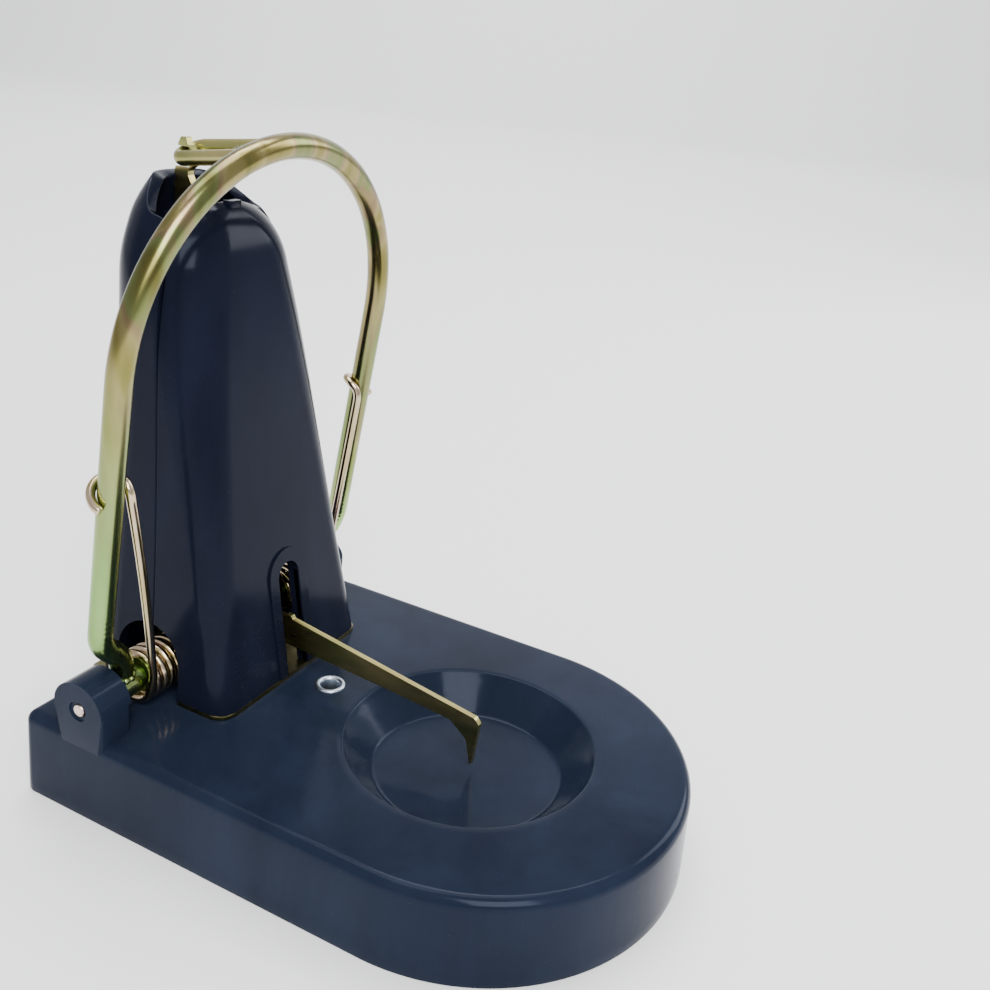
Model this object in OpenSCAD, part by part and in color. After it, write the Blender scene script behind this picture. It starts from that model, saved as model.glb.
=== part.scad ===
// Snap trap with a moulded base, a spring tower, a round kill bar and a bait cup.
// Millimetres. +Z is up, the front (cup end) faces -Y and X runs across.
// The origin is on the underside, at the centre of the half-round front.

/* [Base] */
// Width of the base
base_w = 85; // [84:0.5:88]
// Distance from the centre of the half-round front to the back edge
base_back = 80; // [80:1:84]
// Height of the base
base_h = 18; // [18:0.5:19]
// Wall thickness of the mouldings
wall = 2.4; // [2:0.2:2.6]
// Radius of the base's top edge
edge_r = 2.2; // [1.5:0.1:2.4]

/* [Bait cup] */
// Radius of the cup at the rim
cup_rim_r = 25; // [24:0.5:26]
// Radius of the cup floor
cup_floor_r = 18.8; // [18:0.2:19.4]
// Depth of the cup
cup_depth = 7; // [6.8:0.1:7.2]

/* [Tower] */
// Width of the tower foot
tower_w = 47; // [46:0.5:48]
// Height of the front shell's rounded top
tower_h = 114; // [113:0.5:114.5]
// Height of the rear shell's lip
lip_h = 118; // [117.5:0.5:118]
// Thickness of the steel foot plate
plate_t = 0.9; // [0.8:0.1:1]

/* [Kill bar] */
// Diameter of the kill bar
bar_d = 4.6; // [4.2:0.1:4.8]
// Radius of the bar's arch, and half the distance between its legs
arch_r = 37.4; // [37:0.1:37.6]
// Distance from the axle to the top of the arch
bar_reach = 102.7; // [102:0.1:103]
// Forward lean of the set bar
bar_lean = 8.4; // [8:0.1:9]

/* [Springs] */
// Diameter of the spring wire
wire_d = 1.7; // [1.5:0.1:1.8]
// Mean radius of the coils
coil_r = 4.65; // [4.6:0.05:4.7]
// Number of turns in each coil
coil_turns = 6; // [4:1:6]
// Height of the left spring's hook above the axle
hook_left = 45; // [42:1:48]
// Height of the right spring's hook above the axle
hook_right = 47; // [44:1:52]

/* [Latch] */
// Thickness of the trigger and sear stampings
strip_t = 1.6; // [1.4:0.1:1.7]
// Diameter of the catch loop's wire
catch_d = 2.8; // [2.6:0.1:2.9]

/* [Hidden] */

ROUND = 64;
SOFT = 32;
WIRE_SIDES = 10;
BAR_SIDES = 20;
TURN_STEPS = 18;
EPS = 0.01;
FIT = 0.05;
PLAY = 0.07;

// Base
half_w = base_w / 2;
draft = 0.7;
top_half = half_w - draft;
corner_r = 3;
rib_t = 2;
rib_y = [0, 30, 61];
rib_x = 21;
cup_y = 2.7;
cup_floor_z = base_h - cup_depth;
cup_skin = 2.4;

// Axle, its lugs and what sits on it
axle_y = 64;
axle_z = 24;
rod_r = 1.35;
rod_half = 41.6;
lug_r = 6;
lug_in = 34.4;
lug_out = 41.8;
slim_lug_r = 3.9;
slim_lug_y = 65.5;
slim_lug_out = 40.4;
sleeve_r = 3;
sleeve_out = lug_in - 0.3;
sleeve_in = 12.2;
spacer_r = 3;
spacer_in = strip_t / 2 + 0.2;
rod_rib_x = 9;
rod_rib_t = 2.4;
rod_rib_top = 33;

// Eyelet
eyelet_y = 36.4;
eyelet_r = 2;
eyelet_tube_r = 2.6;
eyelet_flange_r = 3.2;
eyelet_flange_t = 0.5;
eyelet_grip = 2.9;
eyelet_boss_r = 6;

// Tower
foot_z = base_h + plate_t;
foot_half = tower_w / 2;
foot_front = 45;
foot_back = 79.8;
foot_corner_r = 4.5;
foot_rear_r = 6;
plate_rim = 0.25;
shoulder_x = 6.8;
shoulder_y = 68;
shoulder_z = 102.5;
shoulder_r = 11;
seam_gap = 0.1;
slot_half = 3.3;
slot_top = 43.5;
band_w = 2.6;
band_t = 0.5;
arch_y = 65;
arch_z = 25.5;
arch_cut_r = 8;
arch_x = rod_rib_x + rod_rib_t + 0.5;
deck_z = 112;
deck_back = 68;
lip_lean = 8;

// Screws
screw_r = 1.5;
screw_hole_r = 1.7;
screw_depth = 9;
screw_head_r = 2.8;
screw_head_t = 1.8;
drive_half = 1.7;
drive_w = 0.7;
foot_boss_r = 3.4;
foot_screw_at = [[-15.5, 52.8], [15.5, 52.8], [-5.4, 73.9], [5.4, 73.9]];
shell_screw_at = [[-8, 66], [8, 66]];
shell_boss_r = 4.2;
shell_seat_y = 74.2;
shell_screw_tip = 57;

// Kill bar
bar_r = bar_d / 2;
arch_v = bar_reach - arch_r;
kink_v = 13;
foot_x = 31.3;
foot_v = 7;
weld_v = sleeve_r + 0.2;
weld_r = 2.8;
weld_top = 4.4;
bend_steps = 5;
bend_reach = 2.8;
arch_step = 5;

// Springs
pitch = wire_d + 0.2;
coil_out = 27.8;
coil_in = coil_out - coil_turns * pitch;
hook_r = bar_r + wire_d / 2 + 0.12;
hook_tilt = 2;
hook_start = -30;
hook_end = 195;
hook_step = 15;
leg_steps = 6;
tail_x = 14.3;
tail_top = [75.9, 44];

// Catch loop
catch_r = catch_d / 2;
catch_y = 72.4;
catch_z = 121.15;
catch_bend_r = 2.6;
catch_foot_x = 4.8;
catch_foot_y = 51.45;
catch_foot_z = 124.9;
catch_run = catch_y - catch_foot_y;
catch_lift = catch_foot_z - catch_z;
catch_rise = atan(catch_lift / catch_run);
catch_len = norm([catch_run, catch_lift]);
catch_open = atan(catch_foot_x / catch_len) - asin(catch_bend_r / norm([catch_foot_x, catch_len]));
catch_bend_steps = 14;
catch_tip_y = catch_y + catch_bend_r;
catch_tip_z = catch_z - catch_bend_r * sin(catch_rise);
bead_r = 2.2;
bead_back = 53;
web_len = 11;
web_t = 1.6;

// Sear and trigger
sear_y = 73;
sear_z = 106;
sear_pin_r = 1.25;
sear_boss_r = 3.4;
sear_rib_x = strip_t / 2 + 0.3;
sear_rib_t = 2;
sear_rib_end = sear_rib_x + sear_rib_t;
sear_rib_y = 69;
sear_rib_z = [99.5, 109.4];
latch_gap = 0.4;
neck_w = 1.6;
stub_top = 124.2;
stub_back = catch_tip_y + 0.6;
sear_back = 76.1;
arm_front = 66;
arm_bottom = 102.8;
trigger_boss_r = 4.6;
strut_back = 66.2;
strut_w = 3;
strut_top = 102.4;

// Shared shapes

module left() {
    mirror([1, 0, 0])
        children();
}

module pair() {
    children();
    left()
        children();
}

module along_x(x0, x1, y, z, r) {
    translate([x0, y, z])
        rotate([0, 90, 0])
            cylinder(h = x1 - x0, r = r, $fn = ROUND);
}

module along_y(y0, y1, x, z, r) {
    translate([x, y1, z])
        rotate([90, 0, 0])
            cylinder(h = y1 - y0, r = r, $fn = ROUND);
}

module block(low, high) {
    translate(low)
        cube(high - low);
}

// Flat stamping in the centre plane, drawn in (y, z)
module stamping(t) {
    translate([-t / 2, 0, 0])
        rotate([90, 0, 90])
            linear_extrude(height = t)
                children();
}

// Round wire through a list of points, as rings of a sweep
function unit(v) = v / norm(v);
function tangent(p, i) = unit(p[min(i + 1, len(p) - 1)] - p[max(i - 1, 0)]);
function side_start(t) = unit(cross(t, abs(t[0]) < 0.9 ? [1, 0, 0] : [0, 1, 0]));
function carry(s, t) = unit(s - t * (s * t));
function sides(p, i = 0, s = undef) =
    i >= len(p) ? [] :
    let (now = i == 0 ? side_start(tangent(p, 0)) : carry(s, tangent(p, i)))
    concat([now], sides(p, i + 1, now));

module wire(points, r, n = WIRE_SIDES) {
    last = len(points) - 1;
    across = sides(points);
    rings = [
        for (i = [0 : last])
            let (t = tangent(points, i), a = across[i], b = cross(t, a))
            for (k = [0 : n - 1])
                points[i] + r * (a * cos(360 * k / n) + b * sin(360 * k / n))
    ];
    tube = [
        for (i = [0 : last - 1])
            for (k = [0 : n - 1])
                [i * n + k, i * n + (k + 1) % n, (i + 1) * n + (k + 1) % n, (i + 1) * n + k]
    ];
    triangles = [for (q = tube) each [[q[0], q[2], q[1]], [q[0], q[3], q[2]]]];
    start_cap = [[for (k = [0 : n - 1]) k]];
    end_cap = [[for (k = [n - 1 : -1 : 0]) last * n + k]];
    polyhedron(points = rings, faces = concat(start_cap, triangles, end_cap));
}

// Turns a shape drawn around the axle, with +Z up the bar, to the bar's lean
module bar_frame() {
    translate([0, axle_y, axle_z])
        rotate([bar_lean, 0, 0])
            children();
}

// Base moulding

module edge_profile() {
    polygon([
        [0, 0], [half_w, 0], [top_half, base_h - edge_r],
        [top_half - edge_r, base_h - edge_r], [top_half - edge_r, base_h], [0, base_h]
    ]);
    intersection() {
        translate([top_half - edge_r, base_h - edge_r])
            circle(r = edge_r, $fn = ROUND);
        translate([top_half - edge_r, base_h - edge_r])
            square(edge_r);
    }
}

module base_block() {
    rotate([0, 0, 180])
        rotate_extrude(angle = 180, $fn = ROUND)
            edge_profile();
    pair()
        rotate([90, 0, 0])
            mirror([0, 0, 1])
                linear_extrude(height = base_back)
                    edge_profile();
}

// Trims the two rear corners to a small radius
module rear_corners() {
    pair()
        difference() {
            block([half_w - corner_r, base_back - corner_r, -1], [half_w + 1, base_back + 1, base_h + 1]);
            translate([half_w - corner_r, base_back - corner_r, -2])
                cylinder(h = base_h + 4, r = corner_r, $fn = ROUND);
        }
}

module lug(out, y, r) {
    along_x(lug_in, out, y, axle_z, r);
    block([lug_in, y - r, base_h - wall], [out, y + r, axle_z]);
}

// A wide lug on the left, a slim one set further back on the right
module lugs() {
    left()
        lug(lug_out, axle_y, lug_r);
    lug(slim_lug_out, slim_lug_y, slim_lug_r);
}

// The open space under the deck, with the walls and ribs left standing
module under_hollow() {
    deck = base_h - wall;
    inner = half_w - wall;
    difference() {
        union() {
            translate([0, 0, -1])
                cylinder(h = deck + 1, r = inner, $fn = ROUND);
            block([-inner, 0, -1], [inner, base_back - wall, deck]);
        }
        for (y = rib_y)
            block([-half_w, y - rib_t / 2, -2], [half_w, y + rib_t / 2, base_h]);
        pair()
            block([rib_x - rib_t / 2, -half_w, -2], [rib_x + rib_t / 2, base_back, base_h]);
        translate([0, cup_y, cup_floor_z - cup_skin])
            cylinder(h = base_h, r = cup_rim_r + cup_skin, $fn = ROUND);
        translate([0, eyelet_y, base_h - eyelet_grip])
            cylinder(h = eyelet_grip, r = eyelet_boss_r, $fn = ROUND);
    }
}

module base() {
    color("#2b3647")
        difference() {
            union() {
                base_block();
                lugs();
            }
            rear_corners();
            under_hollow();
            translate([0, cup_y, cup_floor_z])
                cylinder(h = cup_depth + EPS, r1 = cup_floor_r, r2 = cup_rim_r, $fn = ROUND);
            translate([0, eyelet_y, -1])
                cylinder(h = base_h + 2, r = eyelet_tube_r, $fn = ROUND);
            pair()
                along_x(lug_in - 1, lug_out + 1, axle_y, axle_z, rod_r + FIT);
            foot_screw_places()
                translate([0, 0, -1])
                    cylinder(h = base_h + 2, r = screw_hole_r, $fn = ROUND);
        }
}

module eyelet() {
    color("#9aa7b3")
        translate([0, eyelet_y, base_h])
            difference() {
                union() {
                    translate([0, 0, -eyelet_grip])
                        cylinder(h = eyelet_grip, r = eyelet_tube_r, $fn = ROUND);
                    cylinder(h = eyelet_flange_t, r = eyelet_flange_r, $fn = ROUND);
                }
                translate([0, 0, -eyelet_grip - 1])
                    cylinder(h = eyelet_grip + 3, r = eyelet_r, $fn = ROUND);
            }
}

// Foot plate and screws

module foot_screw_places() {
    for (at = foot_screw_at)
        translate([at[0], at[1], 0])
            children();
}

module shell_screw_places() {
    for (at = shell_screw_at)
        translate([at[0], 0, at[1]])
            children();
}

// A pan-head screw standing on the plane z = 0 with its head below
module screw(shank) {
    difference() {
        union() {
            translate([0, 0, -screw_head_t])
                cylinder(h = screw_head_t, r = screw_head_r, $fn = ROUND);
            cylinder(h = shank, r = screw_r, $fn = ROUND);
        }
        for (turn = [0, 90])
            rotate([0, 0, turn])
                block([-drive_half, -drive_w / 2, -screw_head_t - 1],
                    [drive_half, drive_w / 2, -screw_head_t / 2]);
    }
}

module foot_plate() {
    reach = foot_half + plate_rim;
    front = foot_front - plate_rim;
    r = foot_corner_r;
    color("#8d8a55")
        difference() {
            union() {
                block([-reach + r, front, base_h], [reach - r, foot_back, foot_z]);
                block([-reach, front + r, base_h], [reach, foot_back, foot_z]);
                pair()
                    translate([reach - r, front + r, base_h])
                        cylinder(h = plate_t, r = r, $fn = ROUND);
            }
            pair()
                block([arch_x + 0.7, arch_y - arch_cut_r, base_h - 1],
                    [reach + 1, arch_y + arch_cut_r, foot_z + 1]);
            foot_screw_places()
                translate([0, 0, base_h - 1])
                    cylinder(h = plate_t + 2, r = screw_hole_r, $fn = ROUND);
        }
}

module foot_screws() {
    color("#a7a9ac")
        foot_screw_places()
            translate([0, 0, base_h - wall])
                screw(wall + plate_t + screw_depth - 1);
}

module shell_screws() {
    color("#a7a9ac")
        shell_screw_places()
            translate([0, shell_seat_y, 0])
                rotate([90, 0, 0])
                    screw(shell_seat_y - shell_screw_tip);
}

// Tower

// Outline of the tower below the lip; grow is negative for the space inside it
module tower_outline(grow) {
    hull() {
        pair() {
            translate([foot_half - foot_corner_r, foot_front + foot_corner_r, foot_z])
                cylinder(h = 1, r = foot_corner_r + grow, $fn = SOFT);
            translate([foot_half - foot_rear_r, foot_back - foot_rear_r, foot_z])
                cylinder(h = 1, r = foot_rear_r + grow, $fn = SOFT);
            translate([shoulder_x, shoulder_y, shoulder_z])
                sphere(r = shoulder_r + grow, $fn = SOFT);
        }
        translate([0, shoulder_y - 2, tower_h - shoulder_r + 1])
            sphere(r = shoulder_r - 1 + grow, $fn = SOFT);
    }
}

// The rear shell rises above the shoulders as a rounded column
// Each ring of the column: [x, radius, height], all touching the same rear face
function column_rings(top) = [[7, 12, 97], [6.2, 11.5, 104], [2.7, 10.8, 111], [1.5, 9, top]];

module column_outline(grow, top) {
    hull()
        pair() {
            for (ring = column_rings(top))
                translate([ring[0], foot_back - ring[1], ring[2] - 1])
                    cylinder(h = 1, r = ring[1] + grow, $fn = SOFT);
            translate([foot_half - foot_rear_r, foot_back - foot_rear_r, foot_z])
                cylinder(h = 1, r = foot_rear_r + grow, $fn = SOFT);
        }
}

// Space above the flat deck and the sloping edge of the lip
module above_lip() {
    stamping(base_w)
        polygon([
            [0, deck_z], [deck_back, deck_z], [deck_back + lip_lean, lip_h],
            [base_back + 10, lip_h], [base_back + 10, lip_h + 20], [0, lip_h + 20]
        ]);
}

module front_half() {
    block([-base_w, 0, foot_z], [base_w, axle_y - seam_gap, lip_h + 10]);
}

module rear_half() {
    block([-base_w, axle_y + seam_gap, foot_z], [base_w, base_back + 10, lip_h + 10]);
}

// Arched openings in both side walls that the coils pass through
module coil_arches() {
    pair() {
        along_x(arch_x, base_w, arch_y, arch_z, arch_cut_r);
        block([arch_x, arch_y - arch_cut_r, foot_z - 1], [base_w, arch_y + arch_cut_r, arch_z]);
    }
}

// Upright round-topped opening through the front wall
module slot_shape(half, top) {
    along_y(foot_front - 5, axle_y - lug_r, 0, top - half, half);
    block([-half, foot_front - 5, foot_z - 1], [half, axle_y - lug_r, top - half]);
}

module tower_bores() {
    coil_arches();
    along_x(-base_w, base_w, axle_y, axle_z, rod_r);
    foot_screw_places()
        translate([0, 0, foot_z - 1])
            cylinder(h = screw_depth + 1, r = screw_r, $fn = ROUND);
}

// Ribs and screw bosses inside both shells, each boss tied to the nearest wall
module tower_inside() {
    boss_h = screw_depth + wall;
    pair()
        block([rod_rib_x, foot_front, foot_z], [rod_rib_x + rod_rib_t, foot_back, rod_rib_top]);
    foot_screw_places()
        translate([0, 0, foot_z])
            cylinder(h = boss_h, r = foot_boss_r, $fn = ROUND);
    for (at = foot_screw_at) {
        tied_to = at[1] < axle_y ? foot_front : foot_back;
        block([at[0] - rib_t / 2, min(at[1], tied_to), foot_z],
            [at[0] + rib_t / 2, max(at[1], tied_to), foot_z + boss_h]);
    }
    shell_screw_places()
        along_y(foot_front, foot_back, 0, 0, shell_boss_r);
}

module tower_front() {
    color("#20283a")
        difference() {
            intersection() {
                union() {
                    tower_outline(0);
                    intersection() {
                        translate([0, -band_t, 0])
                            tower_outline(0);
                        slot_shape(slot_half + band_w, slot_top + band_w);
                    }
                }
                front_half();
            }
            difference() {
                tower_outline(-wall);
                tower_inside();
            }
            slot_shape(slot_half, slot_top);
            tower_bores();
            shell_screw_places()
                along_y(shell_screw_tip - 1, axle_y + 1, 0, 0, screw_r);
        }
}

module tower_rear() {
    color("#222b3d")
        difference() {
            intersection() {
                union() {
                    tower_outline(0);
                    column_outline(0, lip_h);
                }
                rear_half();
            }
            difference() {
                union() {
                    tower_outline(-wall);
                    intersection() {
                        column_outline(-wall, lip_h);
                        block([-base_w, 0, 0], [base_w, base_back, deck_z - wall]);
                    }
                }
                tower_inside();
                sear_ribs();
            }
            intersection() {
                column_outline(-wall, lip_h + 2);
                block([-base_w, deck_back, deck_z - wall - 1], [base_w, base_back, lip_h + 9]);
            }
            block([-sear_rib_x - 1, axle_y, deck_z - wall - 2], [sear_rib_x + 1, deck_back + 1, lip_h]);
            above_lip();
            tower_bores();
            along_x(-sear_rib_end, sear_rib_end, sear_y, sear_z, sear_pin_r);
            shell_screw_places() {
                along_y(axle_y, base_back, 0, 0, screw_hole_r);
                along_y(shell_seat_y, base_back + 1, 0, 0, screw_head_r + 0.2);
            }
        }
}

module sear_ribs() {
    pair()
        block([sear_rib_x, sear_rib_y, sear_rib_z[0]], [sear_rib_end, base_back, sear_rib_z[1]]);
}

// Axle

module axle_rod() {
    color("#c9b8ab")
        along_x(-rod_half, rod_half, axle_y, axle_z, rod_r);
}

module tube(x0, x1, outer, bore) {
    difference() {
        along_x(x0, x1, axle_y, axle_z, outer);
        along_x(x0 - 1, x1 + 1, axle_y, axle_z, bore);
    }
}

module spacer() {
    color("#3a3f46")
        tube(spacer_in, rod_rib_x - 0.1, spacer_r, rod_r);
}

module spacer_left() {
    left()
        spacer();
}

module spacer_right() {
    spacer();
}

module sleeve() {
    color("#7f9a55")
        tube(sleeve_in, sleeve_out, sleeve_r, rod_r + PLAY);
}

module sleeve_left() {
    left()
        sleeve();
}

module sleeve_right() {
    sleeve();
}

// Kill bar

function between(a, b, t) = a + (b - a) * t;
function bend(a, b, c, t) = between(between(a, b, t), between(b, c, t), t);
function toward(a, b, d) = a + d * unit(b - a);

// The corner b of a path from a to c, rounded off
function rounded(a, b, c) = [
    for (i = [0 : bend_steps]) bend(toward(b, a, bend_reach), b, toward(b, c, bend_reach), i / bend_steps)
];

// One leg from its foot up to the arch, with both corners rounded
function leg_path() =
    let (
        foot = [foot_x, 0, weld_v],
        low = [foot_x, 0, foot_v],
        knee = [arch_r, 0, kink_v],
        top = [arch_r, 0, arch_v]
    )
    concat([foot], rounded(foot, low, knee), rounded(low, knee, top));

function arch_path() = [
    for (a = [0 : arch_step : 180]) [arch_r * cos(a), 0, arch_v + arch_r * sin(a)]
];

function flipped(p) = [for (i = [len(p) - 1 : -1 : 0]) [-p[i][0], p[i][1], p[i][2]]];

module rod_between(a, b, r) {
    d = b - a;
    translate(a)
        rotate([0, acos(d[2] / norm(d)), atan2(d[1], d[0])])
            cylinder(h = norm(d), r = r, $fn = ROUND);
}

module bar_arch(r) {
    translate([0, 0, arch_v])
        rotate([90, 0, 0])
            rotate_extrude(angle = 180, $fn = ROUND)
                translate([arch_r, 0])
                    circle(r = r, $fn = ROUND);
}

module kill_bar() {
    leg = leg_path();
    color("#b5a868")
        bar_frame()
            wire(concat(leg, arch_path(), flipped(leg)), bar_r, BAR_SIDES);
}

// Bead joining the foot of the bar to its sleeve
module pivot_weld() {
    color("#8f8a5c")
        bar_frame()
            difference() {
                translate([foot_x, 0, 0])
                    cylinder(h = weld_top, r = weld_r, $fn = ROUND);
                translate([foot_x, 0, weld_v - EPS])
                    cylinder(h = weld_top, r = bar_r + EPS, $fn = ROUND);
                translate([foot_x - weld_r - 1, 0, 0])
                    rotate([0, 90, 0])
                        cylinder(h = 2 * weld_r + 2, r = sleeve_r + EPS, $fn = ROUND);
            }
}

module pivot_weld_left() {
    left()
        pivot_weld();
}

module pivot_weld_right() {
    pivot_weld();
}

// Springs

function hook_at(v, a) = [arch_r - hook_r * cos(a), hook_r * sin(a), v + hook_tilt * cos(a - 45)];
function coil_at(t) = [
    coil_in + pitch * t, coil_r * cos(180 - 360 * t), coil_r * sin(180 - 360 * t)
];

function spring_path(v) =
    let (
        foot = coil_at(coil_turns),
        corner = hook_at(v, hook_start),
        short = between(foot, corner, 1 - 2.4 / norm(corner - foot)),
        onto = hook_at(v, hook_start + 2 * hook_step)
    )
    concat(
        [for (i = [0 : coil_turns * TURN_STEPS]) coil_at(i / TURN_STEPS)],
        [for (i = [1 : leg_steps]) between(foot, short, i / leg_steps)],
        [for (i = [1 : bend_steps]) bend(short, corner, onto, i / bend_steps)],
        [for (a = [hook_start + 3 * hook_step : hook_step : hook_end]) hook_at(v, a)]
    );

module spring(v) {
    color("#c3a58f")
        bar_frame()
            wire(spring_path(v), wire_d / 2);
}

module spring_left() {
    left()
        spring(hook_left);
}

module spring_right() {
    spring(hook_right);
}

// The fixed end of a coil: part of a turn, then a straight end against the rear shell
module spring_tail() {
    arc = [
        for (a = [-100 : 20 : 0])
            [tail_x, axle_y + coil_r * cos(a), axle_z + coil_r * sin(a)]
    ];
    end = [tail_x, tail_top[0], tail_top[1]];
    rise = [for (i = [1 : leg_steps]) between(arc[len(arc) - 1], end, i / leg_steps)];
    color("#c3a58f")
        wire(concat(arc, rise), wire_d / 2);
}

module spring_tail_left() {
    left()
        spring_tail();
}

module spring_tail_right() {
    spring_tail();
}

// Catch loop

// Plane of the loop: +Y runs from the bend to the bar
module catch_frame() {
    translate([0, catch_y, catch_z])
        rotate([-catch_rise, 0, 0])
            rotate([0, 0, 180])
                children();
}

function catch_leg_start() = catch_bend_r * [cos(catch_open), -sin(catch_open), 0];

module catch_leg(r) {
    rod_between(catch_leg_start(), [catch_foot_x, catch_len, 0], r);
}

module catch_loop() {
    swept = 180 - 2 * catch_open;
    bend = [
        for (i = [0 : catch_bend_steps])
            let (a = -catch_open - swept * i / catch_bend_steps)
            catch_bend_r * [cos(a), sin(a), 0]
    ];
    right_foot = [catch_foot_x, catch_len, 0];
    left_foot = [-catch_foot_x, catch_len, 0];
    color("#a8a05e")
        catch_frame()
            wire(concat([right_foot], bend, [left_foot]), catch_r);
}

// Bead round the end of one leg, and half of the web that fills the space between the legs
module catch_weld() {
    color("#8f8a5c")
        difference() {
            union() {
                translate([catch_foot_x - EPS, bead_back, catch_foot_z])
                    rotate([90, 0, 0])
                        cylinder(h = bead_back - catch_foot_y + bar_r, r = bead_r, $fn = ROUND);
                catch_frame()
                    left()
                        block([seam_gap / 2, catch_len - web_len, -web_t / 2],
                            [catch_foot_x, catch_len, web_t / 2]);
            }
            catch_frame()
                left()
                    catch_leg(catch_r + EPS);
            bar_frame()
                bar_arch(bar_r + EPS);
            translate([0, catch_foot_y - bar_r, 0])
                block([-base_w, -base_w, 0], [base_w, 0, lip_h + 20]);
        }
}

module catch_weld_left() {
    left()
        catch_weld();
}

module catch_weld_right() {
    catch_weld();
}

// Sear and trigger

module sear_pin() {
    color("#b9b9b2")
        along_x(-sear_rib_end, sear_rib_end, sear_y, sear_z, sear_pin_r);
}

// Upright stamping: a hooked stub in the loop's bend, a shelf under it and a short arm reaching forward
module sear() {
    neck_back = catch_tip_y - catch_r - latch_gap;
    neck_front = neck_back - neck_w;
    hook_z = catch_tip_z + catch_r + latch_gap;
    shelf_z = catch_tip_z - catch_r - latch_gap;
    color("#9c9350")
        difference() {
            union() {
                stamping(strip_t)
                    polygon([
                        [neck_front, stub_top], [stub_back - latch_gap, stub_top],
                        [stub_back, stub_top - latch_gap], [stub_back, hook_z],
                        [neck_back, hook_z], [neck_back, shelf_z], [sear_back, shelf_z],
                        [sear_back, sear_z], [sear_y, arm_bottom], [arm_front, arm_bottom],
                        [arm_front, 105.4], [68.6, 110.2], [70.2, 111.6], [71.3, 113.5], [71.8, 115.7],
                        [neck_front, shelf_z]
                    ]);
                along_x(-strip_t / 2, strip_t / 2, sear_y, sear_z, sear_boss_r);
            }
            along_x(-strip_t, strip_t, sear_y, sear_z, sear_pin_r + PLAY);
        }
}

// Stamping on edge: bait arm with a turned-down point, a boss on the axle and an upright strut
module trigger() {
    strut_front = strut_back - strut_w;
    color("#9c9350")
        difference() {
            union() {
                stamping(strip_t)
                    polygon([
                        [60.5, 32.9], [47.8, 30.9], [47.8, 31.9], [46.2, 31.7], [46.2, 30.7], [1.5, 23.8],
                        [0.7, 22.7], [1.7, 13], [2.2, 13], [4.4, 18.4], [8.6, 21.7], [22.1, 22.8],
                        [39.7, 23.9], [58, 25.2], [axle_y, axle_z]
                    ]);
                stamping(strip_t)
                    polygon([
                        [60, 25], [68, 25], [strut_back, 45], [strut_back, strut_top],
                        [strut_front, strut_top], [strut_front, 45], [60.5, 32.9]
                    ]);
                along_x(-strip_t / 2, strip_t / 2, axle_y, axle_z, trigger_boss_r);
            }
            along_x(-strip_t, strip_t, axle_y, axle_z, rod_r + PLAY);
        }
}

base();
eyelet();
foot_plate();
foot_screws();
tower_front();
tower_rear();
shell_screws();
axle_rod();
spacer_left();
spacer_right();
spring_tail_left();
spring_tail_right();
sear_pin();
kill_bar();
sleeve_left();
sleeve_right();
pivot_weld_left();
pivot_weld_right();
catch_loop();
catch_weld_left();
catch_weld_right();
spring_left();
spring_right();
sear();
trigger();
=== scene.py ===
import math

import bmesh
import bpy
from mathutils import Matrix, Vector, noise


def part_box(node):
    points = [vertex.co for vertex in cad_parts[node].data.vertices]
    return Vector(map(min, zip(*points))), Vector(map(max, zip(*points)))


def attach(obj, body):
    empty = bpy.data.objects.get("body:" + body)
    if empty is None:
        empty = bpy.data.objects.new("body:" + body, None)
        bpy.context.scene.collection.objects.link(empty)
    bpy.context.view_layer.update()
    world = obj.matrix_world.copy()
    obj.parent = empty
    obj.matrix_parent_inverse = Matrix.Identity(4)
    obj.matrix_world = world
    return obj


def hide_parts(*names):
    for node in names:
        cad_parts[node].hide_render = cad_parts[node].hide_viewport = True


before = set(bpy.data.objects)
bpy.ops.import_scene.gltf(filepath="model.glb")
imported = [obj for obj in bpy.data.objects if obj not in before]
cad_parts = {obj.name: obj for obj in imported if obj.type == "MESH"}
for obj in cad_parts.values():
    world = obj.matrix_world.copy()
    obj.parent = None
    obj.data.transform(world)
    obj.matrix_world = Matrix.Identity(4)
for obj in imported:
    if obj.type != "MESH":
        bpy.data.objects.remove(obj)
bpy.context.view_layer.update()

MM = 0.001
collection = bpy.context.scene.collection


# ---------------------------------------------------------------- sizes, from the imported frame

def span(node):
    """Low and high corner of a CAD node in millimetres."""
    low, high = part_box(node)
    return low / MM, high / MM


base_high = span("base")[1]
rod_low, rod_high = span("axle_rod")
plate_low, plate_high = span("foot_plate")
eyelet_low, eyelet_high = span("eyelet")
front_low = span("tower_front")[0]
rear_high = span("tower_rear")[1]

HALF_W = base_high.x
BACK = base_high.y
BASE_H = plate_low.z
AXLE_Y = (rod_low.y + rod_high.y) / 2
AXLE_Z = (rod_low.z + rod_high.z) / 2
ROD_R = (rod_high.y - rod_low.y) / 2
FOOT_Z = plate_high.z
TOWER_BACK = rear_high.y
LIP_Z = rear_high.z
BAR_LEAN = math.radians(8.4)
QUARTER = math.pi / 2


# ---------------------------------------------------------------- mesh helpers

def finish_mesh(name, bm, material, body, nodes, sharp):
    """Makes an object from a bmesh in millimetres, smooth except along sharp edges."""
    bmesh.ops.recalc_face_normals(bm, faces=bm.faces)
    bmesh.ops.scale(bm, vec=(MM, MM, MM), verts=bm.verts)
    limit = math.radians(sharp)
    for face in bm.faces:
        face.smooth = True
    for edge in bm.edges:
        edge.smooth = not (len(edge.link_faces) == 2 and edge.calc_face_angle(0.0) > limit)
    mesh = bpy.data.meshes.new(name)
    bm.to_mesh(mesh)
    bm.free()
    piece = bpy.data.objects.new(name, mesh)
    collection.objects.link(piece)
    piece.data.materials.append(material)
    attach(piece, body)
    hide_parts(*nodes)
    return piece


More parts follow.
